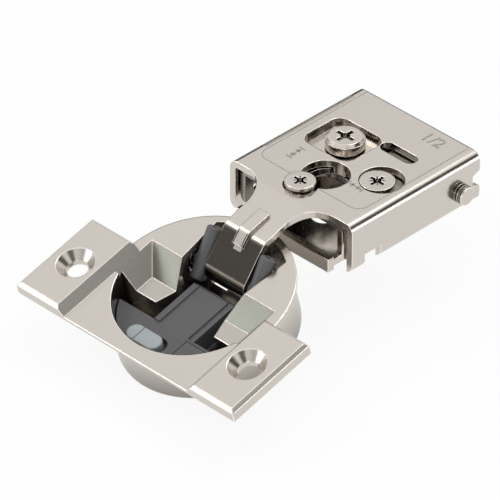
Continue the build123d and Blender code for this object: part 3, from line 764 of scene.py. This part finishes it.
class HINGE_OT_signs(bpy.types.Operator):
    """Stamped double arrows beside the screws and a plain number by the rear edge"""

    bl_idname = "hinge.signs"
    bl_label = "Stamped Signs"

    def execute(self, context):
        finish = context.scene.hinge_finish
        # Painted shade: signs and panel line take a grey for the shade in stamped grooves
        self.mark = plastic("stamped_mark", finish.mark, 0.4)
        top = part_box("arm_channel")[1][2]
        self.arrow("sign_side", SIDE_SIGN, top, math.radians(90))
        self.arrow("sign_height", HEIGHT_SIGN, top, 0)
        self.panel_line(top)
        self.number("stamped_number", "1/2", NUMBER_PLACE, top)
        return {"FINISHED"}

    def bar(self, place, size, turn):
        """Thin flat bar."""
        bpy.ops.object.select_all(action="DESELECT")
        bpy.ops.mesh.primitive_cube_add(size=1, location=place, rotation=(0, 0, turn))
        piece = bpy.context.object
        piece.scale = size
        bpy.ops.object.transform_apply(location=True, rotation=True, scale=True)
        return piece

    def head(self, place, reach, turn):
        """Flat arrow head, a three-sided plate that points along its turn."""
        bpy.ops.object.select_all(action="DESELECT")
        bpy.ops.mesh.primitive_cylinder_add(
            vertices=3, radius=reach, depth=MARK_HEIGHT, location=place, rotation=(0, 0, turn - math.pi / 2)
        )
        piece = bpy.context.object
        bpy.ops.object.transform_apply(location=True, rotation=True, scale=True)
        return piece

    def finish_piece(self, pieces, name, soften=True):
        """Join the parts, soften their rims where wanted and hand the sign over."""
        bpy.ops.object.select_all(action="DESELECT")
        for piece in pieces:
            piece.select_set(True)
        bpy.context.view_layer.objects.active = pieces[0]
        if len(pieces) > 1:
            bpy.ops.object.join()
        sign = bpy.context.object
        if soften:
            rim = sign.modifiers.new("rim", "BEVEL")
            rim.width = MARK_HEIGHT / 4
            rim.segments = 1
            bpy.ops.object.modifier_apply(modifier=rim.name)
        self.hand_over(sign, name)

    def hand_over(self, sign, name):
        """Name a finished sign, give it the mark's finish and let it ride on the arm."""
        sign.name = name
        sign.data.materials.clear()
        sign.data.materials.append(self.mark)
        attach(sign, "arm")

    def clear_hole(self, line, place, room):
        """Cut the line away over one of the arm's openings."""
        bpy.ops.object.select_all(action="DESELECT")
        bpy.ops.mesh.primitive_cylinder_add(vertices=32, radius=room, depth=CUTTER_DEPTH, location=place)
        cutter = bpy.context.object
        bpy.ops.object.transform_apply(location=True, rotation=True, scale=True)
        cut = line.modifiers.new("opening", "BOOLEAN")
        cut.operation = "DIFFERENCE"
        cut.solver = "EXACT"
        cut.object = cutter
        bpy.context.view_layer.objects.active = line
        bpy.ops.object.modifier_apply(modifier=cut.name)
        bpy.data.objects.remove(cutter)

    def panel_line(self, top):
        """Fine line round the panel, with rounded front corners, and two more on its left."""
        bpy.ops.object.select_all(action="DESELECT")
        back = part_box("arm_channel")[1][1] - PANEL_BACK_GAP
        length = back - PANEL_FRONT
        bpy.ops.mesh.primitive_plane_add(size=1, location=(0, PANEL_FRONT + length / 2, top + LINE_HEIGHT))
        line = bpy.context.object
        line.scale = (2 * PANEL_HALF, length, 1)
        bpy.ops.object.transform_apply(location=True, rotation=True, scale=True)
        for vertex in line.data.vertices:
            vertex.select = vertex.co.y < PANEL_FRONT + PANEL_CORNER
        for part in (*line.data.edges, *line.data.polygons):
            part.select = False
        bpy.ops.object.mode_set(mode="EDIT")
        bpy.ops.mesh.select_mode(type="VERT")
        bpy.ops.mesh.bevel(offset=PANEL_CORNER, segments=6, affect="VERTICES")
        bpy.ops.mesh.select_all(action="SELECT")
        bpy.ops.mesh.inset(thickness=LINE_WIDTH)
        bpy.ops.mesh.delete(type="FACE")
        bpy.ops.mesh.select_all(action="SELECT")
        bpy.ops.mesh.extrude_region_move(TRANSFORM_OT_translate={"value": (0, 0, -LINE_HEIGHT)})
        bpy.ops.mesh.select_all(action="SELECT")
        bpy.ops.mesh.normals_make_consistent(inside=False)
        bpy.ops.object.mode_set(mode="OBJECT")
        for node, room in (("side_screw", SIDE_HOLE), ("height_cam", CAM_HOLE)):
            centre = middle(node)
            self.clear_hole(line, (centre.x, centre.y, top), room)
        self.clear_hole(line, (*ACCESS_PLACE, top), ACCESS_HOLE)
        pieces = [line]
        for step in (1, 2):
            place = (-PANEL_HALF - step * LINE_SPACING, PANEL_FRONT + length / 2, top + LINE_HEIGHT / 2)
            pieces.append(self.bar(place, (LINE_WIDTH, length * SIDE_LINE_SHARE, LINE_HEIGHT), 0))
        self.finish_piece(pieces, "panel_line", soften=False)

    def arrow(self, name, place, panel, turn):
        """Double arrow: a shaft, a head at each end and a short stop line past each."""
        low = panel + MARK_HEIGHT / 2
        along = Vector((math.cos(turn), math.sin(turn), 0))
        centre = Vector((*place, low))
        pieces = [self.bar(centre, (ARROW_HALF * SHAFT_LENGTH, MARK_WIDTH, MARK_HEIGHT), turn)]
        for side in (-1, 1):
            tip = centre + along * side * ARROW_HALF * TIP_PLACE
            pieces.append(self.head(tip, ARROW_HEAD, turn if side > 0 else turn + math.pi))
            stop = centre + along * side * ARROW_HALF * STOP_PLACE
            pieces.append(self.bar(stop, (MARK_WIDTH, ARROW_HALF * STOP_LENGTH, MARK_HEIGHT), turn))
        self.finish_piece(pieces, name)

    def number(self, name, words, place, top):
        """Plain stamped number, turned to mesh."""
        bpy.ops.object.select_all(action="DESELECT")
        bpy.ops.object.text_add(location=(0, 0, 0))
        letters = bpy.context.object
        letters.data.body = words
        letters.data.size = NUMBER_SIZE
        letters.data.align_x = "CENTER"
        letters.data.align_y = "CENTER"
        letters.data.extrude = MARK_HEIGHT / 2
        letters.data.resolution_u = 3
        bpy.ops.object.convert(target="MESH")
        piece = bpy.context.object
        piece.location = (place[0], place[1], top + MARK_HEIGHT / 2)
        bpy.ops.object.transform_apply(location=True, rotation=True, scale=True)
        bpy.ops.object.mode_set(mode="EDIT")
        bpy.ops.mesh.select_all(action="SELECT")
        bpy.ops.mesh.remove_doubles(threshold=MARK_HEIGHT / 10)
        bpy.ops.mesh.normals_make_consistent(inside=False)
        bpy.ops.object.mode_set(mode="OBJECT")
        self.hand_over(piece, name)


class HINGE_OT_damper(bpy.types.Operator):
    """Finish of the damper's plastic parts"""

    bl_idname = "hinge.damper"
    bl_label = "Damper"

    def execute(self, context):
        finish = context.scene.hinge_finish
        dark = plastic("damper_grey", finish.damper, 0.45)
        parts = ("lever_left", "lever_right", "tray", "housing", "cover")
        dress(["damper_" + part for part in parts], dark)
        pale = plastic("switch_grey", finish.switch, 0.4)
        dress(["damper_switch", "knuckle_bush"], pale)
        return {"FINISHED"}


class HINGE_PT_looks(bpy.types.Panel):
    """Buttons for each step of the hinge's looks"""

    bl_idname = "HINGE_PT_looks"
    bl_label = "Concealed Hinge"
    bl_space_type = "VIEW_3D"
    bl_region_type = "UI"
    bl_category = "Hinge"

    def draw(self, context):
        column = self.layout.column()
        for operator in OPERATORS:
            column.operator(operator.bl_idname)
        for group in (context.scene.hinge_finish, context.scene.hinge_stage):
            for name in group.bl_rna.properties.keys():
                if name not in {"rna_type", "name"}:
                    column.prop(group, name)


OPERATORS = (
    HINGE_OT_stage,
    HINGE_OT_cup_finish,
    HINGE_OT_arm_finish,
    HINGE_OT_screws,
    HINGE_OT_signs,
    HINGE_OT_damper,
)
CLASSES = (HingeFinish, HingeStage, *OPERATORS, HINGE_PT_looks)


def register():
    for entry in CLASSES:
        bpy.utils.register_class(entry)
    bpy.types.Scene.hinge_finish = bpy.props.PointerProperty(type=HingeFinish)
    bpy.types.Scene.hinge_stage = bpy.props.PointerProperty(type=HingeStage)


def unregister():
    del bpy.types.Scene.hinge_stage
    del bpy.types.Scene.hinge_finish
    for entry in reversed(CLASSES):
        bpy.utils.unregister_class(entry)


def main():
    """Register the add-on and run each operator in order."""
    register()
    bpy.ops.hinge.stage()
    bpy.ops.hinge.cup_finish()
    bpy.ops.hinge.arm_finish()
    bpy.ops.hinge.screws()
    bpy.ops.hinge.signs()
    bpy.ops.hinge.damper()


if __name__ == "__main__":
    main()
